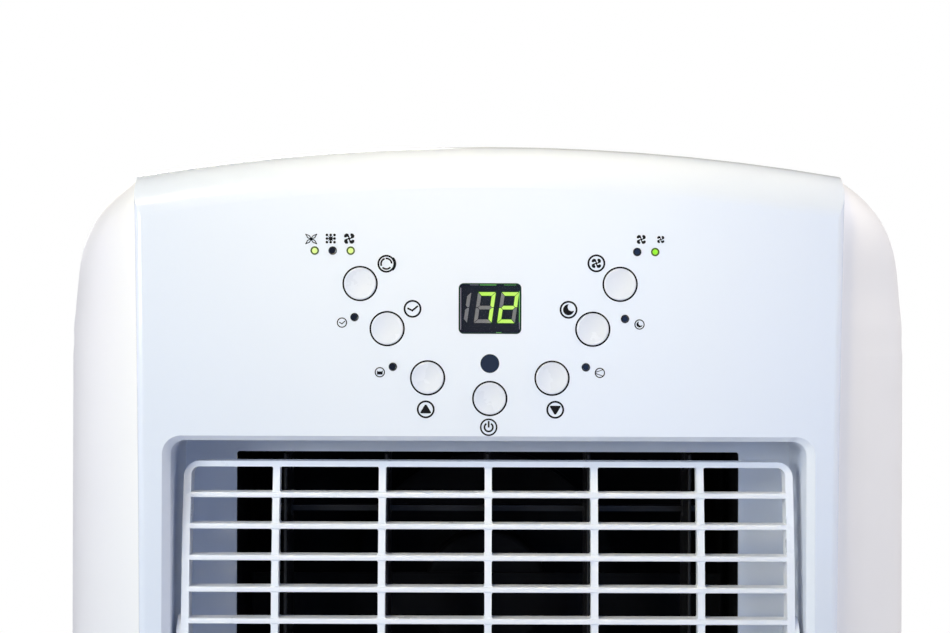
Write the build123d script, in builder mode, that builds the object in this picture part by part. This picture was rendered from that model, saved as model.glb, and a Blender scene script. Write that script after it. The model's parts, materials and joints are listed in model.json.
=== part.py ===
from build123d import *
import os
from math import cos, hypot, radians, sin, sqrt, tan

# Portable air conditioner on four casters, in millimetres.
# +Z is up, the front faces -Y, +X is to the right of a person facing the front.
# The origin is on the floor, at the centre of the footprint.

# ---- Cabinet, driving sizes ----
WIDTH = 454
DEPTH = 380
HEIGHT = 791.5
WALL = 3
GAP = 0.3
FRONT_Y = -DEPTH / 2 + 1            # face of the front panel; the button caps stand 1 mm proud
BACK_Y = 172                        # face of the rear panel; the exhaust collar ends at DEPTH / 2
SKIRT_Z = 60                        # lower edge of the cabinet panels
FRONT_SPLIT_Y = -149                # where the front panel meets the top cover
REAR_SPLIT_Y = 150                  # where the rear panel starts
COVER_SPLIT_Z = 735                 # lower edge of the top cover
PANEL_HALF = 174.8                  # half-width of the front panel below the flare
FLARE = 3.6                         # the panel is this much wider, each side, at its top corners
FLARE_START_Z = 450
CORNER_Z = 774.6
ARCH_FOOT_Z = 650
ARCH_HALF_ANGLE = 15
EVERYWHERE = (-400, 400)
EVERYWHERE_UP = (0, 900)
ARCH_RADIUS = 1083                  # arched top, seen from the front
ARCH_CENTRE_Z = HEIGHT - ARCH_RADIUS
ROLL = 22                           # rounding from the front and the back into the top
FRONT_EDGE_RADIUS = 3.5
REAR_EDGE_RADIUS = 8

# ---- Side panels ----
SIDE_FRONT_Y = -178                 # the fender starts here, behind the face of the front panel
SIDE_BACK_Y = 150
SHOULDER_TOP = (180, 777.2)
SHOULDER_PULL_TOP = (204, 766)
SHOULDER_PULL_LOW = (WIDTH / 2, 747)
SHOULDER_LOW = (WIDTH / 2, 685)
SHOULDER_STEPS = (1, 0.92, 0.84, 0.74, 0.64, 0.54, 0.44, 0.34, 0.24, 0.15, 0.07, 0)
SHOULDER_RISE = 60                  # height over which the front corner tightens
SHOULDER_ROLL = 8
FENDER_CORNER = 99                  # length of the front corner seen from above
FENDER_TIGHTENING = 0.65            # share of that length lost at the top
HANDLE_Z = 600
HANDLE_SIZE = (120, 36)             # along Y, along Z
HANDLE_DEPTH = 26.5

# ---- Rear panel ----
INTAKE_Z = (452, 706)               # opening behind the intake door
INTAKE_HALF = 150
DOOR_PIVOT = (BACK_Y - 2.5, INTAKE_Z[0] + 5)
LOUVRE_PITCH = 12
LOWER_INTAKE_Z = (88, 262)
CORD_PLACE = (140, 74)
CORD_BUSH_RADIUS = 6
DRAIN_PLACE = (0, 76)
DRAIN_RADIUS = 7
SCREW_PLACES = [(x, z) for x in (-162, 162) for z in (76, 430, 722)]

# ---- Air outlet ----
OUTLET_Z = 535
OUTLET_SIZE = (319.6, 215)          # inside the recess, along X and Z
OUTLET_RADIUS = 7
BEZEL_SIZE = (326.8, 220.2)         # outer edge of the slope round the recess
BEZEL_RADIUS = 9.5
BEZEL_DEPTH = 5
RECESS_DEPTH = 60
TUB_WALL = 2.5
DUCT_SIZE = (266, 196.8)
DUCT_BACK_Y = -60
DUCT_RADIUS = 1.5

# ---- Tilting grille ----
GRILLE_HALF = 155
GRILLE_PITCH = 15.9
GRILLE_BARS_EACH_WAY = 6
GRILLE_RADIUS = 430                 # the face is part of a cylinder that bulges forward
GRILLE_FACE_Y = FRONT_Y + 9.5
BAR_HEIGHT = 2.8
BAR_DEPTH = 12
RAIL_WIDTH = 3.8
RIB_WIDTH = 3.6
RIB_PITCH = 54
GRILLE_PIVOT_Y = -170
GRILLE_PIN_RADIUS = 3
RUNNING = 0.05                      # radial clearance of a pin in its hole

# ---- Air vanes in the duct ----
VANE_PIVOT_Y = -100
VANE_CHORD = 40
VANE_THICK = 2
VANE_PIN_RADIUS = 2
VANE_END_GAP = 2
CRANK = 12                          # from the vane's axis to its link pin
LINK_PIN_RADIUS = 1.5
LINK_Z = 600
NOTCH_HALF = 4

# ---- Controls on the front panel: (x, z) ----
BUTTON_PLACES = {
    "button_mode": (-64.5, 721.3),
    "button_timer": (-50.9, 698.8),
    "button_up": (-30.6, 674.25),
    "button_power": (0.5, 664),
    "button_down": (31.6, 674.25),
    "button_sleep": (51.9, 698.8),
    "button_fan": (65.5, 721.3),
}
CAP_RADIUS = 8.0
CAP_PROUD = 1.0
CAP_DISH = 0.45                     # depth of the hollow in the cap
CAP_DISH_RADIUS = 55
BUTTON_HOLE_RADIUS = 8.6
LIT_INDICATORS = [(-87.25, 737.75), (-69.25, 737.75), (83, 737.5)]
DARK_INDICATORS = [
    (-78.25, 737.75),
    (74, 737.5),
    (-67.25, 704.5),
    (-48, 679.75),
    (68, 704),
    (48.5, 679.75),
]
INDICATOR_RADIUS = 1.95
LENS_ROUNDING = 0.7
RECEIVER_PLACE = (0.5, 681.5)
RECEIVER_RADIUS = 4.65
DISPLAY_PLACE = (0.5, 709)
DISPLAY_SIZE = (31, 25)
# Each digit is drawn in its own frame, z up from its middle, then leans to the right.
DIGIT_HEIGHT = 15.5
DIGIT_WIDTH = 8.9
SEGMENT = 1.8
DIGIT_LEAN = tan(radians(8))
SEGMENT_GAP = 0.2
DIGITS = [                          # middle of the digit, lit bars, unlit bars
    (-14.4, "", "bc"),
    (-2.1, "abc", "defg"),
    (9.6, "abged", "cf"),
]
BOARD_FRONT_Y = -175
BOARD_Z = 700
SWITCH_HEIGHT = 3.4
BUTTON_TRAVEL = 1.0

# ---- Casters ----
CASTER_X = 165
CASTER_Y = 112
WHEEL_RADIUS = 20
WHEEL_WIDTH = 16
CASTER_TRAIL = 14
AXLE_RADIUS = 2.5
STEM_RADIUS = 5
PAN_Z = 44
PAN_INSET = 4                       # the pan stands back from the cabinet panels

# ---- Cooling machine ----
EXHAUST_PLACE = (0, 350)
EXHAUST_RADIUS = 65
COLLAR_WALL = 4
EVAP_FAN_Z = 545
COND_FAN_PLACE = (30, 168)
TRAY_Z = 424
COMPRESSOR_PLACE = (-88, -62)
COMPRESSOR_RADIUS = 62


def save(piece, name):
    """Label one finished piece and write it to its own STEP file."""
    piece.part.label = name
    export_step(piece.part, f"parts/{name}.step")


def at_y(y):
    """The upright plane across the cabinet at depth y, facing the front."""
    return Plane.XZ.offset(-y)


def block(x_limits, y_limits, z_limits, mode=Mode.ADD):
    """A box given by its limits, for use inside a part."""
    centre = tuple(sum(pair) / 2 for pair in (x_limits, y_limits, z_limits))
    with Locations(centre):
        Box(
            x_limits[1] - x_limits[0],
            y_limits[1] - y_limits[0],
            z_limits[1] - z_limits[0],
            mode=mode,
        )


def rod(place, radius, y_limits, mode=Mode.ADD):
    """A cylinder along Y with its axis at place = (x, z), for use inside a part."""
    with Locations((place[0], sum(y_limits) / 2, place[1])):
        Cylinder(radius, y_limits[1] - y_limits[0], rotation=(90, 0, 0), mode=mode)


def post(place, radius, z_limits, mode=Mode.ADD):
    """A cylinder along Z with its axis at place = (x, y), for use inside a part."""
    with Locations((place[0], place[1], sum(z_limits) / 2)):
        Cylinder(radius, z_limits[1] - z_limits[0], mode=mode)


def axle(place, radius, x_limits, mode=Mode.ADD):
    """A cylinder along X with its axis at place = (y, z), for use inside a part."""
    with Locations((sum(x_limits) / 2, place[0], place[1])):
        Cylinder(radius, x_limits[1] - x_limits[0], rotation=(0, 90, 0), mode=mode)


# ---------------------------------------------------------------- cabinet envelope


def seam_x(z):
    """Half-width of the front panel at height z."""
    rise = max(0.0, z - FLARE_START_Z) / (CORNER_Z - FLARE_START_Z)
    return PANEL_HALF + FLARE * rise**2


def core_envelope(inset):
    """The body between the side panels, with every outer face moved in by inset."""
    half = PANEL_HALF - inset
    top = HEIGHT + 20
    top_half = seam_x(top) - inset
    front = FRONT_Y + inset
    back = BACK_Y - inset
    with BuildPart() as core:
        with BuildSketch(at_y(back)):
            with BuildLine():
                Polyline((half, FLARE_START_Z), (half, SKIRT_Z + inset), (-half, SKIRT_Z + inset))
                Line((-half, SKIRT_Z + inset), (-half, FLARE_START_Z))
                middle_z = (FLARE_START_Z + top) / 2
                Bezier((-half, FLARE_START_Z), (-half, middle_z), (-top_half, top))
                Line((-top_half, top), (top_half, top))
                Bezier((top_half, top), (half, middle_z), (half, FLARE_START_Z))
            make_face()
        extrude(amount=back - front)
        upright = [
            edge
            for edge in core.edges()
            if edge.bounding_box().size.Z > 50 and edge.bounding_box().size.Y < 1
        ]
        fillet([e for e in upright if e.center().Y < 0], FRONT_EDGE_RADIUS - inset)
        upright = [
            edge
            for edge in core.edges()
            if edge.bounding_box().size.Z > 50
            and edge.bounding_box().size.Y < 1
            and edge.center().Y > back - 1
        ]
        fillet(upright, REAR_EDGE_RADIUS - inset)
    lean = radians(ARCH_HALF_ANGLE)
    arch_start = Plane((0, 0, ARCH_CENTRE_Z), x_dir=(0, 1, 0), z_dir=(cos(lean), 0, sin(lean)))
    foot, crown = ARCH_FOOT_Z - ARCH_CENTRE_Z, ARCH_RADIUS - inset
    with BuildPart() as arch:
        with BuildSketch(arch_start) as profile:
            with Locations(((front + back) / 2, (foot + crown) / 2)):
                Rectangle(back - front, crown - foot)
            fillet(profile.vertices().group_by(Axis.Y)[-1], ROLL - inset)
        revolve(axis=Axis((0, 0, ARCH_CENTRE_Z), (0, 1, 0)), revolution_arc=2 * ARCH_HALF_ANGLE)
    with BuildPart() as lower:
        add(core.part)
        block(EVERYWHERE, EVERYWHERE, (0, ARCH_FOOT_Z + 50), mode=Mode.INTERSECT)
    with BuildPart() as envelope:
        add(core.part)
        add(arch.part, mode=Mode.INTERSECT)
        block(EVERYWHERE, EVERYWHERE, (ARCH_FOOT_Z + 50, HEIGHT + 50), mode=Mode.INTERSECT)
        add(lower.part)
    return envelope.part


def shoulder(t, inset):
    """One point (half-width, height) of the side panel's outline seen from the front."""
    corners = (SHOULDER_TOP, SHOULDER_PULL_TOP, SHOULDER_PULL_LOW, SHOULDER_LOW)
    weights = ((1 - t) ** 3, 3 * t * (1 - t) ** 2, 3 * t**2 * (1 - t), t**3)
    x, z = (sum(w * c[i] for w, c in zip(weights, corners)) for i in (0, 1))
    pulls = (3 * (1 - t) ** 2, 6 * t * (1 - t), 3 * t**2)
    steps = zip(pulls, corners, corners[1:])
    along_x, along_z = 0.0, 0.0
    for pull, first, second in steps:
        along_x += pull * (second[0] - first[0])
        along_z += pull * (second[1] - first[1])
    length = hypot(along_x, along_z)
    return x + inset * along_z / length, z - inset * along_x / length


def fender_plan(half_x, start_x, inner_x, inset, rise):
    """Outline of one side panel seen from above, for use inside a BuildLine.

    rise is 0 below the shoulder and 1 at its top.
    """
    bulge = half_x - start_x
    rolled = SHOULDER_ROLL * rise**3
    corner = FENDER_CORNER * (1 - FENDER_TIGHTENING * rise)
    front = SIDE_FRONT_Y + inset + rolled
    back = SIDE_BACK_Y - inset - rolled
    front_end = front + corner
    back_end = back - 60
    Line((inner_x, front), (start_x, front))
    Bezier(
        (start_x, front),
        (start_x + 0.62 * bulge, front + 0.2 * corner),
        (start_x + bulge, front + 0.55 * corner),
        (start_x + bulge, front_end),
    )
    Line((start_x + bulge, front_end), (start_x + bulge, back_end))
    Bezier(
        (start_x + bulge, back_end),
        (start_x + bulge, back - 28),
        (start_x + 0.6 * bulge, back - 6),
        (start_x, back),
    )
    Polyline((start_x, back), (inner_x, back), (inner_x, front))


def fender_envelope(inset):
    """The right side panel as a full solid, or with inset > 0 the room inside it."""
    foot_z = SKIRT_Z if inset == 0 else SKIRT_Z - 10
    start_x = PANEL_HALF - inset / 2
    roll_start = SHOULDER_TOP[1] - SHOULDER_RISE
    stations = [(WIDTH / 2 - inset, foot_z)]
    stations += [shoulder(t, inset) for t in SHOULDER_STEPS]
    with BuildPart() as fender:
        for number, (half_x, z) in enumerate(stations):
            rise = max(0.0, z + inset - roll_start) / SHOULDER_RISE
            with BuildSketch(Plane.XY.offset(z)):
                with BuildLine():
                    fender_plan(half_x, start_x, start_x - 15, 1.15 * inset, rise)
                make_face()
            if number == 0:
                extrude(amount=SHOULDER_LOW[1] - foot_z)
        loft()
    return fender.part


os.makedirs("parts", exist_ok=True)
CORE_SHELL = core_envelope(0) - core_envelope(WALL)

# ---------------------------------------------------------------- cabinet panels

CORE_AROUND = core_envelope(-GAP)

with BuildPart() as front_panel:
    add(CORE_SHELL)
    block(EVERYWHERE, (FRONT_Y - 10, FRONT_SPLIT_Y), EVERYWHERE_UP, mode=Mode.INTERSECT)
    # Frame behind the recess, whose sloping edge leads into the air outlet.
    frame_back = FRONT_Y + BEZEL_DEPTH
    with BuildSketch(at_y(frame_back)):
        with Locations((0, OUTLET_Z)):
            RectangleRounded(OUTLET_SIZE[0] + 22, OUTLET_SIZE[1] + 22, OUTLET_RADIUS + 8)
    extrude(amount=BEZEL_DEPTH - 1)
    with BuildSketch(at_y(frame_back)):
        with Locations((0, OUTLET_Z)):
            RectangleRounded(*OUTLET_SIZE, OUTLET_RADIUS)
    with BuildSketch(at_y(FRONT_Y)):
        with Locations((0, OUTLET_Z)):
            RectangleRounded(*BEZEL_SIZE, BEZEL_RADIUS)
    loft(mode=Mode.SUBTRACT)
    # Holes for the buttons, the lenses and the display window.
    through = (FRONT_Y - 1, FRONT_Y + WALL + 1)
    for place in BUTTON_PLACES.values():
        rod(place, BUTTON_HOLE_RADIUS, through, mode=Mode.SUBTRACT)
    for place in LIT_INDICATORS + DARK_INDICATORS:
        rod(place, INDICATOR_RADIUS + 0.1, through, mode=Mode.SUBTRACT)
    rod(RECEIVER_PLACE, RECEIVER_RADIUS + 0.1, through, mode=Mode.SUBTRACT)
    with BuildSketch(at_y(FRONT_Y + WALL + 1)):
        with Locations(DISPLAY_PLACE):
            RectangleRounded(DISPLAY_SIZE[0] + 0.4, DISPLAY_SIZE[1] + 0.4, 2.5)
    extrude(amount=WALL + 2, mode=Mode.SUBTRACT)
    # Posts that carry the control board.
    for x in (-92, 92):
        for z in (BOARD_Z - 45, BOARD_Z + 45):
            rod((x, z), 3, (FRONT_Y + WALL - 0.5, BOARD_FRONT_Y))
save(front_panel, "front_panel")

with BuildPart() as top_cover:
    add(CORE_SHELL)
    block(EVERYWHERE, (FRONT_SPLIT_Y + GAP, BACK_Y + 1), (COVER_SPLIT_Z, 900), mode=Mode.INTERSECT)
save(top_cover, "top_cover")

with BuildPart() as rear_panel:
    add(CORE_SHELL)
    block(EVERYWHERE, (REAR_SPLIT_Y, BACK_Y + 1), (0, COVER_SPLIT_Z - GAP), mode=Mode.INTERSECT)
    cut_y = (BACK_Y - WALL - 1, BACK_Y + 1)
    block((-INTAKE_HALF, INTAKE_HALF), cut_y, INTAKE_Z, mode=Mode.SUBTRACT)
    rod(EXHAUST_PLACE, EXHAUST_RADIUS + COLLAR_WALL + 0.2, cut_y, mode=Mode.SUBTRACT)
    # Slots of the lower intake, in two columns.
    slot_rows = int((LOWER_INTAKE_Z[1] - LOWER_INTAKE_Z[0]) / LOUVRE_PITCH)
    for column in (-71, 71):
        for row in range(slot_rows):
            z = LOWER_INTAKE_Z[0] + (row + 0.5) * LOUVRE_PITCH
            block((column - 66, column + 66), cut_y, (z - 3.5, z + 3.5), mode=Mode.SUBTRACT)
    for place in SCREW_PLACES:
        rod(place, 2.2, cut_y, mode=Mode.SUBTRACT)
    rod(CORD_PLACE, CORD_BUSH_RADIUS + 0.1, cut_y, mode=Mode.SUBTRACT)
    rod(DRAIN_PLACE, DRAIN_RADIUS + 0.1, cut_y, mode=Mode.SUBTRACT)
    # Bosses for the hinge pins of the intake door.
    for side in (-1, 1):
        x_limits = sorted((side * (INTAKE_HALF + 1), side * (INTAKE_HALF + 9)))
        block(x_limits, (BACK_Y - 11, BACK_Y - WALL + 0.5), (INTAKE_Z[0] - 2, INTAKE_Z[0] + 12))
        bore = sorted((side * (INTAKE_HALF - 1), side * (INTAKE_HALF + 9)))
        axle(DOOR_PIVOT, 2 + RUNNING, bore, mode=Mode.SUBTRACT)
save(rear_panel, "rear_panel")

with BuildPart() as intake_door:
    door_y = (BACK_Y - 4, BACK_Y + 1.5)
    door_x = (-INTAKE_HALF + 0.6, INTAKE_HALF - 0.6)
    door_z = (INTAKE_Z[0] + 2.5, INTAKE_Z[1] - 0.6)
    block(door_x, door_y, door_z)
    fillet(intake_door.faces().sort_by(Axis.Y)[-1].edges(), 1)
    rows = int((door_z[1] - door_z[0] - 28) / LOUVRE_PITCH)
    for column in (-72, 72):
        for row in range(rows):
            z = sum(door_z) / 2 + (row - (rows - 1) / 2) * LOUVRE_PITCH
            block((column - 66, column + 66), (BACK_Y - 6, BACK_Y + 3), (z - 4, z + 4), mode=Mode.SUBTRACT)
    # Finger lip along the top, and ears with hinge pins at the foot.
    block((-24, 24), (BACK_Y + 0.5, BACK_Y + 5), (door_z[1] - 8, door_z[1] - 4))
    for side in (-1, 1):
        ear = sorted((side * (INTAKE_HALF - 7), side * (INTAKE_HALF - 0.6)))
        block(ear, (BACK_Y - 9, BACK_Y - 3), (door_z[0], door_z[0] + 9))
        pin = sorted((side * (INTAKE_HALF - 2), side * (INTAKE_HALF + 8)))
        axle(DOOR_PIVOT, 2, pin)
save(intake_door, "intake_door")

with BuildPart() as air_filter:
    filter_y = (BACK_Y - 14, BACK_Y - 9.2)
    block((-140, 140), filter_y, (INTAKE_Z[0] + 16, INTAKE_Z[1] - 4))
    with BuildSketch(at_y(filter_y[1])):
        with Locations((0, (INTAKE_Z[0] + INTAKE_Z[1] + 12) / 2)):
            with GridLocations(90, 76, 3, 3):
                Rectangle(84, 70)
    extrude(amount=1.2, mode=Mode.SUBTRACT)
    # Clips that hold the filter to the back of the door.
    for x in (-132, 132):
        for z in (INTAKE_Z[0] + 40, INTAKE_Z[1] - 40):
            block((x - 4, x + 4), (filter_y[1] - 1, BACK_Y - 4), (z - 5, z + 5))
save(air_filter, "air_filter")

with BuildPart() as exhaust_collar:
    rod(EXHAUST_PLACE, EXHAUST_RADIUS + COLLAR_WALL, (REAR_SPLIT_Y + 4, DEPTH / 2))
    rod(EXHAUST_PLACE, EXHAUST_RADIUS + COLLAR_WALL + 10, (BACK_Y, BACK_Y + 3))
    # Bayonet ribs round the spigot that hold the hose adaptor.
    rod(EXHAUST_PLACE, EXHAUST_RADIUS + COLLAR_WALL + 1.5, (BACK_Y + 12, BACK_Y + 14))
    rod(EXHAUST_PLACE, EXHAUST_RADIUS, (REAR_SPLIT_Y, DEPTH / 2 + 1), mode=Mode.SUBTRACT)
save(exhaust_collar, "exhaust_collar")

with BuildPart() as panel_screws:
    for place in SCREW_PLACES:
        rod(place, 1.9, (BACK_Y - 12, BACK_Y))
        rod(place, 4, (BACK_Y, BACK_Y + 2.4))
    heads = panel_screws.faces().group_by(Axis.Y)[-1]
    fillet(heads.edges(), 1)
    for x, z in SCREW_PLACES:
        block((x - 2.2, x + 2.2), (BACK_Y + 1.2, BACK_Y + 4), (z - 0.5, z + 0.5), mode=Mode.SUBTRACT)
        block((x - 0.5, x + 0.5), (BACK_Y + 1.2, BACK_Y + 4), (z - 2.2, z + 2.2), mode=Mode.SUBTRACT)
save(panel_screws, "panel_screws")

with BuildPart() as cord_inlet:
    rod(CORD_PLACE, 9, (BACK_Y, BACK_Y + 5))
    rod(CORD_PLACE, CORD_BUSH_RADIUS, (BACK_Y - 14, BACK_Y))
    rod(CORD_PLACE, 3.6, (BACK_Y - 15, BACK_Y + 6), mode=Mode.SUBTRACT)
    fillet(cord_inlet.edges().group_by(Axis.Y)[-1], 1)
save(cord_inlet, "cord_inlet")

with BuildPart() as drain_plug:
    rod(DRAIN_PLACE, DRAIN_RADIUS, (BACK_Y - 14, BACK_Y))
    rod(DRAIN_PLACE, 10, (BACK_Y, BACK_Y + 6))
    fillet(drain_plug.edges().group_by(Axis.Y)[-1], 1.5)
    block((-1.5, 1.5), (BACK_Y + 4, BACK_Y + 9), (66, 86), mode=Mode.SUBTRACT)
save(drain_plug, "drain_plug")

with BuildPart() as right_side_panel:
    add(fender_envelope(0))
    add(fender_envelope(WALL), mode=Mode.SUBTRACT)
    add(CORE_AROUND, mode=Mode.SUBTRACT)
    # Moulded hand grip.
    outer_x = WIDTH / 2
    half_y, half_z = HANDLE_SIZE[0] / 2, HANDLE_SIZE[1] / 2
    block(
        (outer_x - HANDLE_DEPTH - WALL, outer_x - 1),
        (-half_y - WALL, half_y + WALL),
        (HANDLE_Z - half_z - WALL, HANDLE_Z + half_z + WALL),
    )
    with BuildSketch(Plane.YZ.offset(outer_x - HANDLE_DEPTH)):
        with Locations((0, HANDLE_Z)):
            RectangleRounded(*HANDLE_SIZE, 12)
    extrude(amount=HANDLE_DEPTH + 5, mode=Mode.SUBTRACT)
save(right_side_panel, "right_side_panel")

with BuildPart() as left_side_panel:
    add(mirror(right_side_panel.part, about=Plane.YZ, mode=Mode.PRIVATE))
save(left_side_panel, "left_side_panel")

# ---------------------------------------------------------------- air outlet

TUB_FRONT_Y = FRONT_Y + BEZEL_DEPTH
TUB_BACK_Y = FRONT_Y + RECESS_DEPTH
TUB_X = OUTLET_SIZE[0] / 2

with BuildPart() as outlet_tub:
    with BuildSketch(at_y(TUB_BACK_Y + TUB_WALL)):
        with Locations((0, OUTLET_Z)):
            outer = [side + 2 * TUB_WALL for side in OUTLET_SIZE]
            RectangleRounded(*outer, OUTLET_RADIUS + TUB_WALL)
    extrude(amount=TUB_BACK_Y + TUB_WALL - TUB_FRONT_Y)
    with BuildSketch(at_y(TUB_BACK_Y)):
        with Locations((0, OUTLET_Z)):
            RectangleRounded(*OUTLET_SIZE, OUTLET_RADIUS)
    extrude(amount=TUB_BACK_Y - TUB_FRONT_Y + 1, mode=Mode.SUBTRACT)
    with BuildSketch(at_y(TUB_BACK_Y + TUB_WALL + 1)):
        with Locations((0, OUTLET_Z)):
            RectangleRounded(*DUCT_SIZE, DUCT_RADIUS)
    extrude(amount=TUB_WALL + 2, mode=Mode.SUBTRACT)
    pivot = (GRILLE_PIVOT_Y, OUTLET_Z)
    axle(pivot, GRILLE_PIN_RADIUS + RUNNING, (-TUB_X - 5, TUB_X + 5), mode=Mode.SUBTRACT)
save(outlet_tub, "outlet_tub")

with BuildPart() as grille_bearings:
    for side in (-1, 1):
        inner_x, outer_x = side * (TUB_X + TUB_WALL), side * (TUB_X + TUB_WALL + 7)
        bearing = sorted((inner_x, outer_x))
        block(bearing, (GRILLE_PIVOT_Y - 9, GRILLE_PIVOT_Y + 9), (OUTLET_Z - 9, OUTLET_Z + 9))
        axle(pivot, GRILLE_PIN_RADIUS + RUNNING, bearing, mode=Mode.SUBTRACT)
save(grille_bearings, "grille_bearings")

DUCT_Z = (OUTLET_Z - DUCT_SIZE[1] / 2, OUTLET_Z + DUCT_SIZE[1] / 2)
VANE_XS = [RIB_PITCH * number for number in (-2, -1, 0, 1, 2)]
VANE_Z = (DUCT_Z[0] + VANE_END_GAP, DUCT_Z[1] - VANE_END_GAP)
VANE_PIN_Z = (DUCT_Z[0] - TUB_WALL, DUCT_Z[1] + TUB_WALL + 2)

with BuildPart() as outlet_duct:
    duct_front_y = TUB_BACK_Y + TUB_WALL
    with BuildSketch(at_y(DUCT_BACK_Y)):
        with Locations((0, OUTLET_Z)):
            RectangleRounded(
                DUCT_SIZE[0] + 2 * TUB_WALL, DUCT_SIZE[1] + 2 * TUB_WALL, DUCT_RADIUS + TUB_WALL
            )
    extrude(amount=DUCT_BACK_Y - duct_front_y)
    with BuildSketch(at_y(duct_front_y + 3)):
        with Locations((0, OUTLET_Z)):
            RectangleRounded(DUCT_SIZE[0] + 16, DUCT_SIZE[1] + 14, DUCT_RADIUS + 6)
    extrude(amount=3)
    with BuildSketch(at_y(DUCT_BACK_Y + 1)):
        with Locations((0, OUTLET_Z)):
            RectangleRounded(*DUCT_SIZE, DUCT_RADIUS)
    extrude(amount=DUCT_BACK_Y + 2 - duct_front_y, mode=Mode.SUBTRACT)
    for x in VANE_XS:
        post((x, VANE_PIVOT_Y), VANE_PIN_RADIUS + RUNNING, (300, 700), mode=Mode.SUBTRACT)
save(outlet_duct, "outlet_duct")


def grille_slab(front_radius, back_radius):
    """A curved slab across the whole grille: part of a cylinder about a level axis behind it."""
    centre = (GRILLE_FACE_Y + GRILLE_RADIUS, OUTLET_Z)
    with BuildPart() as slab:
        axle(centre, front_radius, (-GRILLE_HALF - 5, GRILLE_HALF + 5))
        axle(centre, back_radius, (-GRILLE_HALF - 5, GRILLE_HALF + 5), mode=Mode.SUBTRACT)
        block(EVERYWHERE, (FRONT_Y, 0), (OUTLET_Z - 130, OUTLET_Z + 130), mode=Mode.INTERSECT)
    return slab.part


def bar_centre(number):
    """Depth and height of one level bar's front edge; number 0 is at the middle."""
    angle = number * GRILLE_PITCH / GRILLE_RADIUS
    y = GRILLE_FACE_Y + GRILLE_RADIUS * (1 - cos(angle))
    return y, OUTLET_Z + GRILLE_RADIUS * sin(angle)


GRILLE_HEIGHT = 2 * (bar_centre(GRILLE_BARS_EACH_WAY)[1] - OUTLET_Z) + BAR_HEIGHT
RIM_SLAB = grille_slab(GRILLE_RADIUS, GRILLE_RADIUS - BAR_DEPTH)
RIB_SLAB = grille_slab(GRILLE_RADIUS - 1.5, GRILLE_RADIUS - 9.5)

with BuildPart() as grille_rim:
    # Rim.
    with BuildSketch(at_y(-100)):
        with Locations((0, OUTLET_Z)):
            RectangleRounded(2 * GRILLE_HALF, GRILLE_HEIGHT, 7.6)
            RectangleRounded(
                2 * (GRILLE_HALF - RAIL_WIDTH), GRILLE_HEIGHT - 2 * BAR_HEIGHT, 4, mode=Mode.SUBTRACT
            )
    extrude(amount=90)
    add(RIM_SLAB, mode=Mode.INTERSECT)
with BuildPart() as grille_ribs:
    for x in VANE_XS:
        half = RIB_WIDTH / 2
        block((x - half, x + half), (-200, -100), (OUTLET_Z - 95, OUTLET_Z + 95))
        # Flared feet where the rib meets each level bar.
        for number in range(-GRILLE_BARS_EACH_WAY, GRILLE_BARS_EACH_WAY + 1):
            z = bar_centre(number)[1]
            with BuildSketch(at_y(-100)):
                with Locations((x, z)):
                    Polygon((-half - 1.4, 0), (0, 5.2), (half + 1.4, 0), (0, -5.2), align=None)
            extrude(amount=90)
    add(RIB_SLAB, mode=Mode.INTERSECT)
    block(
        EVERYWHERE,
        EVERYWHERE,
        (OUTLET_Z - GRILLE_HEIGHT / 2 + 1, OUTLET_Z + GRILLE_HEIGHT / 2 - 1),
        mode=Mode.INTERSECT,
    )
with BuildPart() as grille_bars:
    bar_half = GRILLE_HALF - RAIL_WIDTH / 2
    for number in range(-GRILLE_BARS_EACH_WAY + 1, GRILLE_BARS_EACH_WAY):
        front, z = bar_centre(number)
        with BuildSketch(Plane.YZ.offset(-bar_half)):
            with Locations((front + BAR_DEPTH / 2, z)):
                RectangleRounded(BAR_DEPTH, BAR_HEIGHT, 0.9)
        extrude(amount=2 * bar_half)
with BuildPart() as louver_grille:
    add(grille_rim.part)
    add(grille_ribs.part)
    add(grille_bars.part)
    for side in (-1, 1):
        cheek = Plane.YZ.offset(side * (GRILLE_HALF - RAIL_WIDTH + 0.5))
        with BuildSketch(cheek):
            with Locations(pivot):
                SlotOverall(36, 20, rotation=90)
        extrude(amount=side * (RAIL_WIDTH + 1.7))
        pin = sorted((side * (GRILLE_HALF - 1), side * (TUB_X + TUB_WALL + 6)))
        axle(pivot, GRILLE_PIN_RADIUS, pin)
save(louver_grille, "louver_grille")

with BuildPart() as vane:
    block(
        (-VANE_THICK / 2, VANE_THICK / 2),
        (VANE_PIVOT_Y - VANE_CHORD / 2, VANE_PIVOT_Y + VANE_CHORD / 2),
        VANE_Z,
    )
    fillet(vane.edges().filter_by(Axis.Z), VANE_THICK / 2 - 0.1)
    for pin_z in ((VANE_PIN_Z[0], VANE_Z[0] + 10), (VANE_Z[1] - 10, VANE_PIN_Z[1])):
        post((0, VANE_PIVOT_Y), VANE_PIN_RADIUS, pin_z)
    notch = (LINK_Z - NOTCH_HALF, LINK_Z + NOTCH_HALF)
    block((-3, 3), (VANE_PIVOT_Y + 5, VANE_PIVOT_Y + 30), notch, mode=Mode.SUBTRACT)
    post((0, VANE_PIVOT_Y + CRANK), LINK_PIN_RADIUS, (notch[0] - 6, notch[1] + 6))
for number, x in enumerate(VANE_XS, start=1):
    with BuildPart() as placed_vane:
        with Locations((x, 0, 0)):
            add(vane.part)
    save(placed_vane, f"vane_{number}")

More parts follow.
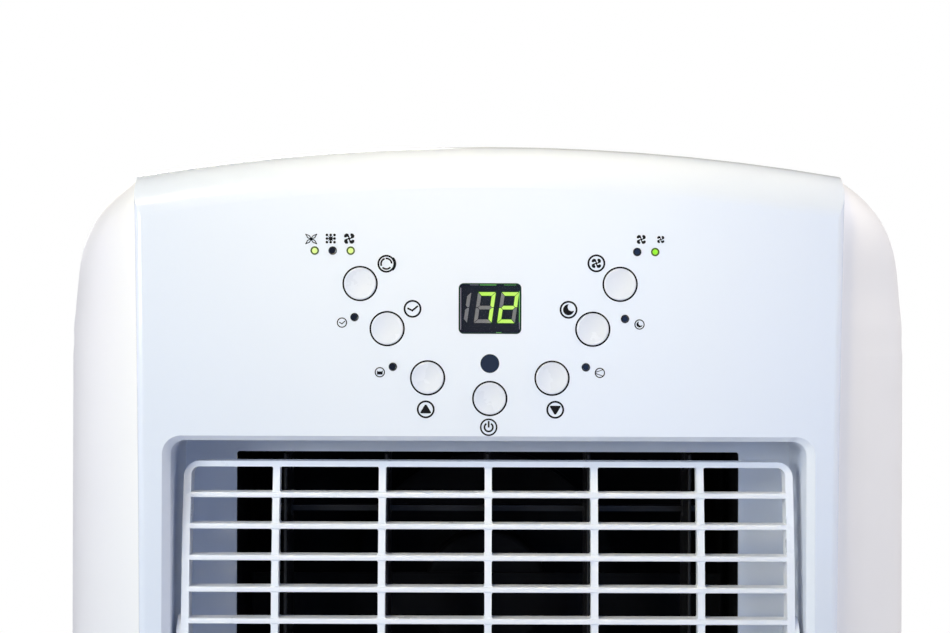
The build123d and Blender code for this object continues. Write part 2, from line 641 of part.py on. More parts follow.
with BuildPart() as vane_link:
    block(
        (VANE_XS[0] - 6, VANE_XS[-1] + 6),
        (VANE_PIVOT_Y + 7.2, VANE_PIVOT_Y + 16.5),
        (LINK_Z - 1.5, LINK_Z + 1.5),
    )
    slot_x, slot_y = LINK_PIN_RADIUS + 0.35, (9.0, 13.9)
    with BuildSketch(Plane.XY.offset(LINK_Z - 3)):
        with Locations([(x, VANE_PIVOT_Y + sum(slot_y) / 2) for x in VANE_XS]):
            SlotOverall(slot_y[1] - slot_y[0], 2 * slot_x, rotation=90)
    extrude(amount=6, mode=Mode.SUBTRACT)
save(vane_link, "vane_link")

with BuildPart() as swing_motor:
    motor_axis = (VANE_XS[0], VANE_PIVOT_Y)
    sleeve_z = DUCT_Z[1] + TUB_WALL + 0.4
    post(motor_axis, 14, (sleeve_z + 4, sleeve_z + 23))
    post(motor_axis, 5, (sleeve_z, sleeve_z + 5))
    pin_end = VANE_PIN_Z[1] + 0.5
    post(motor_axis, VANE_PIN_RADIUS + RUNNING, (sleeve_z - 1, pin_end), mode=Mode.SUBTRACT)
    bracket_x = (VANE_XS[0] - 21, VANE_XS[0] + 21)
    bracket_y = (VANE_PIVOT_Y - 3.5, VANE_PIVOT_Y + 3.5)
    block(bracket_x, bracket_y, (sleeve_z + 4, sleeve_z + 5))
save(swing_motor, "swing_motor")

# ---------------------------------------------------------------- controls


LENS_DEPTH = (FRONT_Y + 0.1, BOARD_FRONT_Y)  # from the panel's face to the control board


for name, (x, z) in BUTTON_PLACES.items():
    with BuildPart() as button:
        cap_front = FRONT_Y - CAP_PROUD
        rod((x, z), CAP_RADIUS, (cap_front, FRONT_Y + WALL + 0.4))
        fillet(button.edges().group_by(Axis.Y)[0], 0.7)
        # The face is slightly dished.
        with Locations((x, cap_front + CAP_DISH - CAP_DISH_RADIUS, z)):
            Sphere(CAP_DISH_RADIUS, mode=Mode.SUBTRACT)
        rod((x, z), CAP_RADIUS + 2, (FRONT_Y + WALL + 0.2, FRONT_Y + WALL + 1.4))
        rod((x, z), 2, (FRONT_Y + WALL + 1, BOARD_FRONT_Y - SWITCH_HEIGHT - BUTTON_TRAVEL - 0.2))
    save(button, name)

with BuildPart() as control_board:
    block((-100, 100), (BOARD_FRONT_Y, BOARD_FRONT_Y + 1.6), (BOARD_Z - 51, BOARD_Z + 51))
    for x, z in BUTTON_PLACES.values():
        block((x - 3, x + 3), (BOARD_FRONT_Y - 2.4, BOARD_FRONT_Y + 1), (z - 3, z + 3))
        rod((x, z), 1.5, (BOARD_FRONT_Y - SWITCH_HEIGHT, BOARD_FRONT_Y))
    # Processor, buzzer and cable socket on the back of the board.
    block((-12, 12), (BOARD_FRONT_Y + 1, BOARD_FRONT_Y + 4), (BOARD_Z + 10, BOARD_Z + 34))
    rod((-60, BOARD_Z - 25), 6, (BOARD_FRONT_Y + 1, BOARD_FRONT_Y + 9))
    block((40, 70), (BOARD_FRONT_Y + 1, BOARD_FRONT_Y + 10), (BOARD_Z - 46, BOARD_Z - 38))
save(control_board, "control_board")

with BuildPart() as indicators_lit:
    for place in LIT_INDICATORS:
        rod(place, INDICATOR_RADIUS, LENS_DEPTH)
    fillet(indicators_lit.edges().group_by(Axis.Y)[0], LENS_ROUNDING)
save(indicators_lit, "indicators_lit")

with BuildPart() as indicators_dark:
    for place in DARK_INDICATORS:
        rod(place, INDICATOR_RADIUS, LENS_DEPTH)
    fillet(indicators_dark.edges().group_by(Axis.Y)[0], LENS_ROUNDING)
save(indicators_dark, "indicators_dark")

with BuildPart() as receiver_window:
    rod(RECEIVER_PLACE, RECEIVER_RADIUS, (FRONT_Y + 0.2, FRONT_Y + WALL))
    rod(RECEIVER_PLACE, 3, (FRONT_Y + WALL, BOARD_FRONT_Y))
save(receiver_window, "receiver_window")

with BuildPart() as display_window:
    with BuildSketch(at_y(FRONT_Y + 2.2)):
        with Locations(DISPLAY_PLACE):
            RectangleRounded(*DISPLAY_SIZE, 2.3)
    extrude(amount=1.9)
save(display_window, "display_window")

SEGMENT_FRONT_Y = FRONT_Y + 2.9
with BuildPart() as display_module:
    x, z = DISPLAY_PLACE
    block(
        (x - DISPLAY_SIZE[0] / 2 + 0.5, x + DISPLAY_SIZE[0] / 2 - 0.5),
        (SEGMENT_FRONT_Y + 0.4, BOARD_FRONT_Y),
        (z - DISPLAY_SIZE[1] / 2 + 0.5, z + DISPLAY_SIZE[1] / 2 - 0.5),
    )
save(display_module, "display_module")

# Each digit is drawn in its own frame, z up from its middle, then leans to the right.

def segment_points(letter):
    """Corners of one bar of a seven-segment digit with mitred ends, before it leans."""
    half_w, half_h = (DIGIT_WIDTH - SEGMENT) / 2, (DIGIT_HEIGHT - SEGMENT) / 2
    t = SEGMENT / 2
    if letter == "g":
        reach = half_w - SEGMENT_GAP
        right = [(reach - t, t), (reach, 0), (reach - t, -t)]
        return right + [(-x, z) for x, z in reversed(right)]
    if letter in "ad":
        up = 1 if letter == "a" else -1
        long_half, short_half = half_w + t - SEGMENT_GAP, half_w - t - SEGMENT_GAP
        outer_z, inner_z = up * (half_h + t), up * (half_h - t)
        return [
            (-long_half, outer_z),
            (long_half, outer_z),
            (short_half, inner_z),
            (-short_half, inner_z),
        ]
    side = 1 if letter in "bc" else -1
    up = 1 if letter in "bf" else -1
    outer_x, inner_x = side * (half_w + t), side * (half_w - t)
    return [
        (outer_x, up * (half_h + t - SEGMENT_GAP)),
        (inner_x, up * (half_h - t - SEGMENT_GAP)),
        (inner_x, up * (t + SEGMENT_GAP)),
        (side * half_w, up * SEGMENT_GAP),
        (outer_x, up * SEGMENT_GAP),
    ]


def segment_corners(letter, middle_x):
    """Corners of one bar in the cabinet's x and z, leaning to the right."""
    z0 = DISPLAY_PLACE[1] + 0.5
    return [(middle_x + x + DIGIT_LEAN * z, z0 + z) for x, z in segment_points(letter)]


for name, chosen in (("display_lit", 1), ("display_unlit", 2)):
    with BuildPart() as digit_bars:
        for digit in DIGITS:
            for letter in digit[chosen]:
                with BuildSketch(at_y(SEGMENT_FRONT_Y + 0.4)):
                    Polygon(*segment_corners(letter, digit[0]), align=None)
                extrude(amount=0.4)
    save(digit_bars, name)

# ---------------------------------------------------------------- base and casters

CASTER_PLACES = {
    "front_left": (-CASTER_X, -CASTER_Y),
    "front_right": (CASTER_X, -CASTER_Y),
    "rear_left": (-CASTER_X, CASTER_Y),
    "rear_right": (CASTER_X, CASTER_Y),
}


with BuildPart() as base_pan:
    with BuildSketch(Plane.XY.offset(PAN_Z)):
        rim_y = (FRONT_Y + PAN_INSET, BACK_Y - PAN_INSET)
        with Locations((0, sum(rim_y) / 2)):
            RectangleRounded(2 * (PANEL_HALF - PAN_INSET), rim_y[1] - rim_y[0], 12)
    with BuildSketch(Plane.XY.offset(PAN_Z)):
        with BuildLine():
            fender_plan(WIDTH / 2 - PAN_INSET, PANEL_HALF - 5, 150, PAN_INSET, 0)
        make_face()
        mirror(about=Plane.YZ)
    extrude(amount=SKIRT_Z - GAP - PAN_Z)
    top = base_pan.faces().sort_by(Axis.Z)[-1]
    offset(amount=-WALL, openings=top)
    for x, y in CASTER_PLACES.values():
        post((x, y), 11, (PAN_Z, SKIRT_Z - GAP))
        post((x, y), STEM_RADIUS + RUNNING, (PAN_Z - 1, SKIRT_Z + 1), mode=Mode.SUBTRACT)
save(base_pan, "base_pan")

for place_name, (x, y) in CASTER_PLACES.items():
    axle_place = (y + CASTER_TRAIL, WHEEL_RADIUS)
    with BuildPart() as fork:
        plate_z = (PAN_Z - 4, PAN_Z - 0.3)
        post((x, y), STEM_RADIUS, (PAN_Z - 2, SKIRT_Z - 1))
        with BuildSketch(Plane.XY.offset(plate_z[0])):
            with Locations((x, y + CASTER_TRAIL / 2)):
                RectangleRounded(WHEEL_WIDTH + 8, 38, 6)
        extrude(amount=plate_z[1] - plate_z[0])
        for side in (-1, 1):
            inner, outer = side * (WHEEL_WIDTH / 2 + 0.6), side * (WHEEL_WIDTH / 2 + 3.6)
            with BuildSketch(Plane.YZ.offset(x + min(inner, outer))):
                with BuildLine():
                    ay, az = axle_place
                    top_z = plate_z[1] - 1
                    Polyline((ay - 8, az), (y - 10, top_z), (ay + 10, top_z), (ay + 8, az))
                    ThreePointArc((ay + 8, az), (ay, az - 8), (ay - 8, az))
                make_face()
            extrude(amount=3)
        axle(axle_place, AXLE_RADIUS, (x - WHEEL_WIDTH / 2 - 2, x + WHEEL_WIDTH / 2 + 2))
    save(fork, f"caster_fork_{place_name}")
    with BuildPart() as wheel:
        axle(axle_place, WHEEL_RADIUS, (x - WHEEL_WIDTH / 2, x + WHEEL_WIDTH / 2))
        fillet(wheel.edges().filter_by(GeomType.CIRCLE), 2.5)
        for side in (-1, 1):
            dish = sorted((x + side * (WHEEL_WIDTH / 2 - 2), x + side * (WHEEL_WIDTH / 2 + 1)))
            axle(axle_place, WHEEL_RADIUS - 6, dish, mode=Mode.SUBTRACT)
            hub = sorted((x + side * (WHEEL_WIDTH / 2 - 3), x + side * WHEEL_WIDTH / 2))
            axle(axle_place, 6, hub)
        bore = (x - WHEEL_WIDTH, x + WHEEL_WIDTH)
        axle(axle_place, AXLE_RADIUS + RUNNING, bore, mode=Mode.SUBTRACT)
    save(wheel, f"caster_wheel_{place_name}")

# ---------------------------------------------------------------- cooling machine

TRAY_Y = (-56, 148)
EVAP_HOUSING_Y = (DUCT_BACK_Y, 78)
COIL_Y = (100, 140)


def coil(x_limits, y_limits, z_limits, rows):
    """A fin block with end plates and return bends, as one solid."""
    with BuildPart() as pack:
        block(x_limits, y_limits, z_limits)
        for x in x_limits:
            plate = (x - 1, x + 1)
            block(plate, (y_limits[0] - 2, y_limits[1] + 2), (z_limits[0] - 2, z_limits[1] + 2))
        pitch = (z_limits[1] - z_limits[0]) / rows
        mid_y = sum(y_limits) / 2
        for row in range(rows):
            z = z_limits[0] + (row + 0.5) * pitch
            with BuildSketch(Plane.YZ.offset(x_limits[1] + 0.5)):
                with Locations((mid_y, z)):
                    SlotOverall(y_limits[1] - y_limits[0] - 6, 8)
            extrude(amount=9)
            with BuildSketch(Plane.YZ.offset(x_limits[0] - 0.5)):
                with Locations((mid_y, z)):
                    SlotOverall(y_limits[1] - y_limits[0] - 6, 8)
            extrude(amount=-9)
    return pack


evaporator_coil = coil((-146, 146), COIL_Y, (TRAY_Z + 16, 700), 10)
save(evaporator_coil, "evaporator_coil")

condenser_coil = coil((-146, 146), COIL_Y, (70, 270), 8)
save(condenser_coil, "condenser_coil")

with BuildPart() as drip_tray:
    block((-156, 156), TRAY_Y, (TRAY_Z, TRAY_Z + 8))
    basin_y = (TRAY_Y[0] + 3, TRAY_Y[1] - 3)
    block((-153, 153), basin_y, (TRAY_Z + 2.5, TRAY_Z + 9), mode=Mode.SUBTRACT)
save(drip_tray, "drip_tray")

EVAP_HOUSING_X = (-137, 137)
EVAP_HOUSING_Z = (TRAY_Z + 8.5, 650)
FAN_RADIUS = 78

with BuildPart() as evaporator_fan_housing:
    block(EVAP_HOUSING_X, EVAP_HOUSING_Y, EVAP_HOUSING_Z)
    room_x = (EVAP_HOUSING_X[0] + 2, EVAP_HOUSING_X[1] - 2)
    room_z = (EVAP_HOUSING_Z[0] + 2, EVAP_HOUSING_Z[1] - 2)
    block(room_x, (EVAP_HOUSING_Y[0] - 1, EVAP_HOUSING_Y[1] - 2), room_z, mode=Mode.SUBTRACT)
    rod((0, EVAP_FAN_Z), 62, (60, 90), mode=Mode.SUBTRACT)
    # Strut that carries the motor.
    block(EVAP_HOUSING_X, (-34, -30), (EVAP_FAN_Z - 12, EVAP_FAN_Z + 12))
save(evaporator_fan_housing, "evaporator_fan_housing")


def fan_motor(place, face_y, radius, length, shaft_end_y):
    """A round motor standing on a strut, with its shaft towards the back."""
    with BuildPart() as motor:
        rod(place, radius, (face_y, face_y + length))
        fillet(motor.edges().filter_by(GeomType.CIRCLE), 3)
        rod(place, 10, (face_y + length - 1, face_y + length + 3))
        rod(place, 4, (face_y + length, shaft_end_y))
    return motor


def fan_wheel(place, radius, y_limits, blades, hub_y):
    """A centrifugal wheel: back disc with a hub, blades, and a ring at the inlet."""
    with BuildPart() as wheel:
        rod(place, radius, (y_limits[0], y_limits[0] + 2))
        rod(place, 11, (y_limits[0], hub_y))
        rod(place, radius, (y_limits[1] - 3, y_limits[1]))
        rod(place, radius - 20, (y_limits[1] - 4, y_limits[1] + 1), mode=Mode.SUBTRACT)
        with BuildSketch(at_y(y_limits[1] - 1)):
            with Locations(place):
                with PolarLocations(radius - 10, blades):
                    Rectangle(17, 1.6, rotation=35)
        extrude(amount=y_limits[1] - y_limits[0] - 2)
        rod(place, 4 + RUNNING, (y_limits[0] - 1, hub_y - 4), mode=Mode.SUBTRACT)
    return wheel


evaporator_fan_motor = fan_motor((0, EVAP_FAN_Z), -30, 36, 34, 36)
save(evaporator_fan_motor, "evaporator_fan_motor")
evaporator_fan_wheel = fan_wheel((0, EVAP_FAN_Z), FAN_RADIUS, (12, 70), 28, 42)
save(evaporator_fan_wheel, "evaporator_fan_wheel")

COND_HOUSING_X = (COND_FAN_PLACE[0] - 92, COND_FAN_PLACE[0] + 92)
COND_HOUSING_Y = (18, 94)
COND_HOUSING_Z = (70, 272)
PLENUM_X = (-82, 82)
PLENUM_Z = (272, TRAY_Z - 2)

with BuildPart() as condenser_fan_housing:
    block(COND_HOUSING_X, COND_HOUSING_Y, COND_HOUSING_Z)
    block(PLENUM_X, (COND_HOUSING_Y[0], REAR_SPLIT_Y + 3), PLENUM_Z)
    block(
        (COND_HOUSING_X[0] + 2, COND_HOUSING_X[1] - 2),
        (COND_HOUSING_Y[0] + 2, COND_HOUSING_Y[1] - 2),
        (COND_HOUSING_Z[0] + 2, COND_HOUSING_Z[1] - 2),
        mode=Mode.SUBTRACT,
    )
    block(
        (PLENUM_X[0] + 2, PLENUM_X[1] - 2),
        (COND_HOUSING_Y[0] + 2, REAR_SPLIT_Y + 1),
        (PLENUM_Z[0] + 2, PLENUM_Z[1] - 2),
        mode=Mode.SUBTRACT,
    )
    # Throat between the fan chamber and the exhaust chamber.
    throat_x = (COND_HOUSING_X[0] + 8, PLENUM_X[1] - 8)
    throat_y = (COND_HOUSING_Y[0] + 6, COND_HOUSING_Y[1] - 6)
    block(throat_x, throat_y, (PLENUM_Z[0] - 5, PLENUM_Z[0] + 5), mode=Mode.SUBTRACT)
    rod(EXHAUST_PLACE, EXHAUST_RADIUS, (REAR_SPLIT_Y - 5, REAR_SPLIT_Y + 5), mode=Mode.SUBTRACT)
    rod(COND_FAN_PLACE, 58, (COND_HOUSING_Y[1] - 8, COND_HOUSING_Y[1] + 5), mode=Mode.SUBTRACT)
    rod(COND_FAN_PLACE, 6, (COND_HOUSING_Y[0] - 1, COND_HOUSING_Y[0] + 4), mode=Mode.SUBTRACT)
save(condenser_fan_housing, "condenser_fan_housing")

condenser_fan_motor = fan_motor(COND_FAN_PLACE, COND_HOUSING_Y[0] - 41, 38, 38, 52)
save(condenser_fan_motor, "condenser_fan_motor")
condenser_fan_wheel = fan_wheel(COND_FAN_PLACE, FAN_RADIUS - 3, (27, 82), 28, 58)
save(condenser_fan_wheel, "condenser_fan_wheel")

with BuildPart() as compressor:
    post(COMPRESSOR_PLACE, COMPRESSOR_RADIUS, (66, 300))
    fillet(compressor.edges().filter_by(GeomType.CIRCLE), 24)
    with BuildSketch(Plane.XY.offset(62)):
        with Locations(COMPRESSOR_PLACE):
            with PolarLocations(70, 3, start_angle=30):
                Circle(14)
            Circle(50)
            with PolarLocations(35, 3, start_angle=30):
                RectangleRounded(80, 28, 4)
    extrude(amount=6)
    with Locations(COMPRESSOR_PLACE):
        with PolarLocations(70, 3, start_angle=30):
            with Locations((0, 0, 65)):
                Cylinder(5 + RUNNING, 20, mode=Mode.SUBTRACT)
save(compressor, "compressor")

with BuildPart() as compressor_grommets:
    with Locations(COMPRESSOR_PLACE):
        with PolarLocations(70, 3, start_angle=30):
            with Locations((0, 0, (PAN_Z + WALL + 62) / 2)):
                Cylinder(12, 62 - PAN_Z - WALL)
            with Locations((0, 0, 66)):
                Cylinder(5, 8.1)
            with Locations((0, 0, 71)):
                Cylinder(8, 4)
save(compressor_grommets, "compressor_grommets")

PIPE_RADIUS = 4
SUCTION_ROUTE = [
    (-95, -62, 300),
    (-95, -62, 350),
    (-170, -62, 350),
    (-170, 120, 350),
    (-170, 120, 470),
    (-155.8, 120, 470),
]
DISCHARGE_ROUTE = [
    (-75, -75, 300),
    (-75, -75, 330),
    (-75, -10, 330),
    (-170, -10, 330),
    (-170, 104, 250),
    (-155.8, 104, 250),
]
with BuildPart() as refrigerant_pipes:
    for route in (SUCTION_ROUTE, DISCHARGE_ROUTE):
        with BuildLine() as path:
            FilletPolyline(*route, radius=12)
        with BuildSketch(Plane(path.line @ 0, z_dir=path.line % 0)):
            Circle(PIPE_RADIUS)
        sweep()
save(refrigerant_pipes, "refrigerant_pipes")

with BuildPart() as electrical_box:
    block((20, 150), (-160, -84), (300, 402))
    fillet(electrical_box.edges().filter_by(Axis.Y), 5)
    block((23, 147), (-157, -80), (303, 399), mode=Mode.SUBTRACT)
    block((20, 150), (-84, -82), (300, 402))
    rod((52, 350), 20, (-150, -90))
save(electrical_box, "electrical_box")
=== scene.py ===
import json
import math

import bmesh
import bpy
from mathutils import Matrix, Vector


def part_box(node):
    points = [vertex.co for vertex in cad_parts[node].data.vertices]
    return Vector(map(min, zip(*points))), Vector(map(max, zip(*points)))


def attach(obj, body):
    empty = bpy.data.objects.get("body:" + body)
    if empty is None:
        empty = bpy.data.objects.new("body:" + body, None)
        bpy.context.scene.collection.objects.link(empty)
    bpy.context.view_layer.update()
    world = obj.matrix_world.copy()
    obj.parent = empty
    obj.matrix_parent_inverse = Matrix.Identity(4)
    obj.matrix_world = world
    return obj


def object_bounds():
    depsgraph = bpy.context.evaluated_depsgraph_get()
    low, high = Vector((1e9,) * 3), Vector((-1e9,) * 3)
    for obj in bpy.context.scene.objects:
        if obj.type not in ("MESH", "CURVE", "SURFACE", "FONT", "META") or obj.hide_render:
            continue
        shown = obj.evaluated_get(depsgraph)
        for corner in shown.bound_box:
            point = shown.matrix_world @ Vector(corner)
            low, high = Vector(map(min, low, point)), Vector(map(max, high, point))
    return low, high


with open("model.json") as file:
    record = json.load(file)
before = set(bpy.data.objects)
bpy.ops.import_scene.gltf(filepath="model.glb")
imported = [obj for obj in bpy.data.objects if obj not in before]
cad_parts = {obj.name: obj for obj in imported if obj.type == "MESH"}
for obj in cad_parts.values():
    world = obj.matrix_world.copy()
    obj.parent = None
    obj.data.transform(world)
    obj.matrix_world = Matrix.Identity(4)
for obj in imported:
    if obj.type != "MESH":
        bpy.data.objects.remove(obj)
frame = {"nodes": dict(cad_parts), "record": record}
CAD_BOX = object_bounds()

# Portable air conditioner: materials, printed marks, small details, floor, light and camera
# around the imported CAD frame. Lengths are metres unless a comment says millimetres.

MM = 0.001
NODES = frame["nodes"]
PANEL_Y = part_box("front_panel")[0].y          # the flat face of the front panel

# ---------------------------------------------------------------- material helpers


def new_material(name):
    """A new node material, with its tree and its shader."""
    material = bpy.data.materials.new(name)
    material.use_nodes = True
    tree = material.node_tree
    return material, tree, tree.nodes["Principled BSDF"]


def node(tree, kind, **values):
    """Add one node and set its properties or the values of its inputs."""
    made = tree.nodes.new(kind)
    for key, value in values.items():
        if key in made.inputs:
            made.inputs[key].default_value = value
        else:
            setattr(made, key, value)
    return made


def coordinates(tree, kind):
    """The output of a texture coordinate node."""
    return tree.nodes.new("ShaderNodeTexCoord").outputs[kind]


def object_noise(tree, scale, detail=2.0, roughness=0.5):
    """Noise over the piece's own coordinates, which are metres."""
    noise = node(tree, "ShaderNodeTexNoise", Scale=scale, Detail=detail, Roughness=roughness)
    tree.links.new(coordinates(tree, "Object"), noise.inputs["Vector"])
    return noise.outputs["Fac"]


def multiply_add(tree, source, factor, added):
    """source times factor, plus added."""
    made = node(tree, "ShaderNodeMath", operation="MULTIPLY_ADD")
    tree.links.new(source, made.inputs[0])
    made.inputs[1].default_value = factor
    made.inputs[2].default_value = added
    return made.outputs["Value"]


def ramp(tree, source, stops):
    """A colour ramp from (position, colour) stops, driven by source."""
    made = tree.nodes.new("ShaderNodeValToRGB")
    tree.links.new(source, made.inputs["Fac"])
    elements = made.color_ramp.elements
    while len(elements) < len(stops):
        elements.new(0.5)
    for element, (position, colour) in zip(elements, stops):
        element.position = position
        element.color = (*colour, 1.0)
    return made


def drive(tree, shader, socket, source, stops):
    """Drive one input of the shader by a colour ramp over source."""
    tree.links.new(ramp(tree, source, stops).outputs["Color"], shader.inputs[socket])


def bump(tree, shader, source, strength, distance, under=None):
    """Drive the shader's normal by a bump over source, on top of another bump if given."""
    made = node(tree, "ShaderNodeBump", Strength=strength, Distance=distance)
    tree.links.new(source, made.inputs["Height"])
    if under:
        tree.links.new(under.outputs["Normal"], made.inputs["Normal"])
    tree.links.new(made.outputs["Normal"], shader.inputs["Normal"])
    return made


def grey(value):
    """The same number in all three channels."""
    return (value,) * 3


def shade(colour, factor):
    """The same colour, lighter or darker."""
    return tuple(min(1.0, channel * factor) for channel in colour)


# ---------------------------------------------------------------- kinds of material

DRIFT_SCALE, PATCH_SCALE, WAVE_SCALE = 6.0, 35.0, 14.0       # noise scales, per metre
GRAIN_DISTANCE, WAVE_DISTANCE = 0.2 * MM, 2.0 * MM           # heights of the two bumps


def plastic(name, colour, roughness, spread, grain, grain_depth, variation, coat=0.0,
            specular=0.5, coat_roughness=0.06, wave_depth=0.0):
    """Moulded plastic: slow colour drift, uneven roughness and fine grain, with an optional
    clear skin and slow swell."""
    material, tree, shader = new_material(name)
    drive(tree, shader, "Base Color", object_noise(tree, DRIFT_SCALE, 4.0),
          [(0.3, shade(colour, 1 - variation)), (0.7, shade(colour, 1 + variation))])
    low, high = max(0.02, roughness - spread), min(1.0, roughness + spread)
    drive(tree, shader, "Roughness", object_noise(tree, PATCH_SCALE, 5.0, 0.6),
          [(0.35, grey(low)), (0.65, grey(high))])
    shader.inputs["Specular IOR Level"].default_value = specular
    shader.inputs["Coat Weight"].default_value = coat
    shader.inputs["Coat Roughness"].default_value = coat_roughness
    swell = None
    if wave_depth:
        swell = bump(tree, shader, object_noise(tree, WAVE_SCALE, 1.0), wave_depth, WAVE_DISTANCE)
    bump(tree, shader, object_noise(tree, grain), grain_depth, GRAIN_DISTANCE, swell)
    return material


def shaded_cap_plastic(name, colour):
    """Button caps: satin plastic, with painted shade darker to the upper left and paler to the
    lower right.
    """
    material = plastic(name, colour, 0.26, 0.04, 1300, 0.03, 0.008)
    tree = material.node_tree
    base = tree.nodes["Principled BSDF"].inputs["Base Color"]
    drift = base.links[0].from_socket
    # Painted shade: the cap's colour is multiplied darker towards its upper left, as if lit from
    # there.
    split = tree.nodes.new("ShaderNodeSeparateXYZ")
    tree.links.new(coordinates(tree, "Generated"), split.inputs["Vector"])
    slope = node(tree, "ShaderNodeMath", operation="SUBTRACT")
    tree.links.new(split.outputs["X"], slope.inputs[0])
    tree.links.new(split.outputs["Z"], slope.inputs[1])
    cap_painted_shade = ramp(tree, multiply_add(tree, slope.outputs["Value"], 0.5, 0.5),
                [(0.22, (0.85, 0.87, 0.92)), (0.62, (1.0, 1.0, 1.0))])
    blend = node(tree, "ShaderNodeMixRGB", blend_type="MULTIPLY", Fac=1.0)
    tree.links.new(drift, blend.inputs["Color1"])
    tree.links.new(cap_painted_shade.outputs["Color"], blend.inputs["Color2"])
    tree.links.new(blend.outputs["Color"], base)
    return material


def metal(name, colour, roughness, grain, metallic):
    """Mottled bare or plated metal."""
    material, tree, shader = new_material(name)
    mottle = object_noise(tree, grain, 4.0, 0.6)
    drive(tree, shader, "Base Color", mottle,
          [(0.3, shade(colour, 0.85)), (0.7, shade(colour, 1.1))])
    drive(tree, shader, "Roughness", mottle,
          [(0.3, grey(roughness * 0.8)), (0.7, grey(roughness * 1.25))])
    shader.inputs["Metallic"].default_value = metallic
    bump(tree, shader, mottle, 0.15, 0.3 * MM)
    return material


def glowing(name, colour, strength, hot):
    """A lit plastic light guide, a little brighter where the light behind it is stronger; also the
    painted glow round the lit digits and on the window's edge.
    """
    material, tree, shader = new_material(name)
    drive(tree, shader, "Emission Color", object_noise(tree, 160.0),
          [(0.25, colour), (0.75, hot)])
    shader.inputs["Base Color"].default_value = (*shade(colour, 0.05), 1.0)
    shader.inputs["Emission Strength"].default_value = strength
    shader.inputs["Roughness"].default_value = 0.35
    return material


def lit_lens(name):
    """Indicator lenses: the left pair glows pale, the right one a deeper green."""
    material, tree, shader = new_material(name)
    split = tree.nodes.new("ShaderNodeSeparateXYZ")
    tree.links.new(coordinates(tree, "Object"), split.inputs["Vector"])
    across = multiply_add(tree, split.outputs["X"], 5.0, 0.5)    # 0 to 1 over 200 mm
    drive(tree, shader, "Emission Color", across,
          [(0.08, (0.80, 1.0, 0.34)), (0.30, (0.80, 1.0, 0.26)), (0.80, (0.34, 0.90, 0.010))])
    drive(tree, shader, "Emission Strength", object_noise(tree, 500.0),
          [(0.3, grey(0.80)), (0.7, grey(1.0))])
    shader.inputs["Base Color"].default_value = (0.04, 0.06, 0.01, 1.0)
    shader.inputs["Roughness"].default_value = 0.35
    return material


def smoked(name, colour, alpha):
    """Dark see-through window plastic, polished, with a faint haze."""
    material, tree, shader = new_material(name)
    haze = object_noise(tree, 90.0, 3.0)
    drive(tree, shader, "Base Color", haze,
          [(0.3, shade(colour, 0.85)), (0.7, shade(colour, 1.15))])
    drive(tree, shader, "Roughness", haze, [(0.3, grey(0.05)), (0.7, grey(0.10))])
    shader.inputs["Alpha"].default_value = alpha
    shader.inputs["Coat Weight"].default_value = 0.3
    return material


def stripes(tree, direction, scale, distortion):
    """Straight waves across one direction of the piece's own coordinates."""
    made = node(tree, "ShaderNodeTexWave", bands_direction=direction, Scale=scale,
                Distortion=distortion)
    tree.links.new(coordinates(tree, "Object"), made.inputs["Vector"])
    return made.outputs["Fac"]


def coil_fins(name):
    """Aluminium fins seen edge-on: narrow upright stripes, with painted shade for the gaps between
    them.
    """
    material, tree, shader = new_material(name)
    fins = stripes(tree, "X", 90.0, 0.15)
    # The dark stops are painted shade in the gaps between the fins.
    drive(tree, shader, "Base Color", fins,
          [(0.25, (0.05, 0.05, 0.055)), (0.6, (0.72, 0.74, 0.77))])
    shader.inputs["Metallic"].default_value = 0.9
    shader.inputs["Roughness"].default_value = 0.38
    bump(tree, shader, fins, 0.6, 1.0 * MM)
    return material


def mesh_cloth(name):
    """Filter net: crossed threads, with painted shade for the dark holes between them."""
    material, tree, shader = new_material(name)
    net = node(tree, "ShaderNodeMath", operation="MAXIMUM")
    tree.links.new(stripes(tree, "X", 160.0, 0.2), net.inputs[0])
    tree.links.new(stripes(tree, "Z", 160.0, 0.2), net.inputs[1])
    # The dark stops are painted shade for the holes of the net.
    drive(tree, shader, "Base Color", net.outputs["Value"],
          [(0.55, (0.015, 0.016, 0.018)), (0.85, (0.20, 0.21, 0.22))])
    shader.inputs["Roughness"].default_value = 0.8
    bump(tree, shader, net.outputs["Value"], 0.7, 0.6 * MM)
    return material


# ---------------------------------------------------------------- the materials

PANEL_WHITE = (0.780, 0.835, 0.940)
SIDE_WHITE = (0.860, 0.865, 0.880)
TUB_WHITE = (0.735, 0.785, 0.890)
GRILLE_WHITE = (0.880, 0.915, 0.985)
CAP_WHITE = (0.765, 0.800, 0.880)

